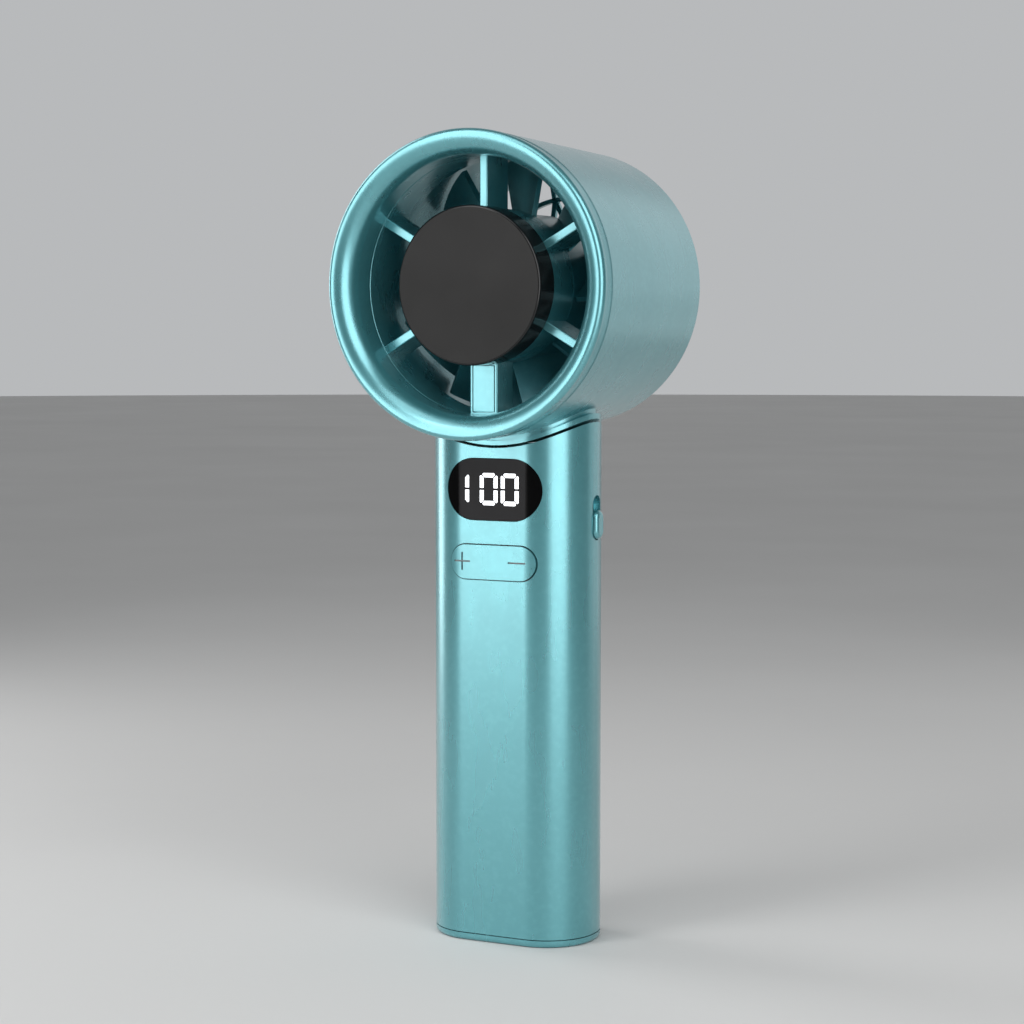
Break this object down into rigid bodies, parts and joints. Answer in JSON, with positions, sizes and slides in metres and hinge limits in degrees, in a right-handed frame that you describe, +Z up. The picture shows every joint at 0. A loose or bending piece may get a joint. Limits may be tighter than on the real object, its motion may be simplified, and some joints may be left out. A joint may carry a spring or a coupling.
{
  "type": "handheld electric fan",
  "caption": "Handheld fan with a drum-shaped head, bell mouth, round cooling plate on spokes and rear guard, on a straight oblong handle with a display, rocker key and slide switch.",
  "frame": {"origin": "centre of the flat underside of the handle's foot", "axes": "+Z up along the handle, -Y out of the head's mouth where the air leaves, +Y out of the rear intake, +X towards the slide switch; the head's axis runs along Y at Z 143.3 mm"},
  "size_m": [0.0654, 0.0562, 0.176],
  "materials": {
    "shell": "satin metallic teal lacquer on moulded plastic",
    "blade": "satin teal moulding",
    "plate": "black anodised face, polished black edge",
    "lens": "polished smoke black",
    "plastic_dark": "fine spark-eroded texture",
    "steel": "bright zinc plate",
    "alloy": "extruded, clear",
    "iron_and_copper": "enamelled copper wire on laminated iron",
    "magnet": "bonded ferrite",
    "board": "green solder mask",
    "ceramic_white": "fired alumina, unglazed",
    "cell": "shrink sleeve over a steel can",
    "cable": "soft vinyl insulation"
  },
  "bodies": {
    "housing": {"drum_shell": "shell", "front_ring": "shell", "guide_frame": "shell", "channel_cover": "shell", "rear_grille": "shell", "cooling_plate": "plate", "plate_carrier": "plastic_dark", "thermoelectric_module": "ceramic_white", "heat_sink": "alloy", "motor_base": "plastic_dark", "stator": "iron_and_copper", "front_bearing": "steel", "rear_bearing": "steel", "motor_cable": "cable", "motor_screw_1": "steel", "motor_screw_2": "steel", "motor_screw_3": "steel", "neck_screw_left": "steel", "neck_screw_right": "steel", "handle_sleeve": "shell", "base_cap": "shell", "base_screw_left": "steel", "base_screw_right": "steel", "inner_chassis": "plastic_dark", "battery_cell": "cell", "main_board": "board", "display_module": "plastic_dark", "display_lens": "lens", "rocker_pin": "steel", "rocker_bracket": "plastic_dark", "speed_up_switch": "plastic_dark", "speed_down_switch": "plastic_dark", "power_switch": "steel", "charge_board": "board", "usb_port": "steel", "charge_cable": "cable"},
    "rotor": {"impeller": "blade", "rotor_can": "steel", "magnet_ring": "magnet", "motor_shaft": "steel", "shaft_clip": "steel"},
    "speed_rocker": {"rocker_button": "shell"},
    "power_slider": {"slider_knob": "shell", "switch_lever": "plastic_dark"}
  },
  "joints": [
    {"name": "impeller_spin", "type": "hinge", "parent": "housing", "child": "rotor", "pos_m": [0, 0, 0.1433], "axis": [0, 1, 0], "continuous": true},
    {"name": "speed_rocker_tilt", "type": "hinge", "parent": "housing", "child": "speed_rocker", "pos_m": [0, -0.0076, 0.08375], "axis": [0, 0, 1], "range_deg": [-2.2, 2.2], "stiffness_Nm_per_rad": 0.15},
    {"name": "power_slide", "type": "slide", "parent": "housing", "child": "power_slider", "axis": [0, 0, 1], "range_m": [0, 0.003]}
  ]
}
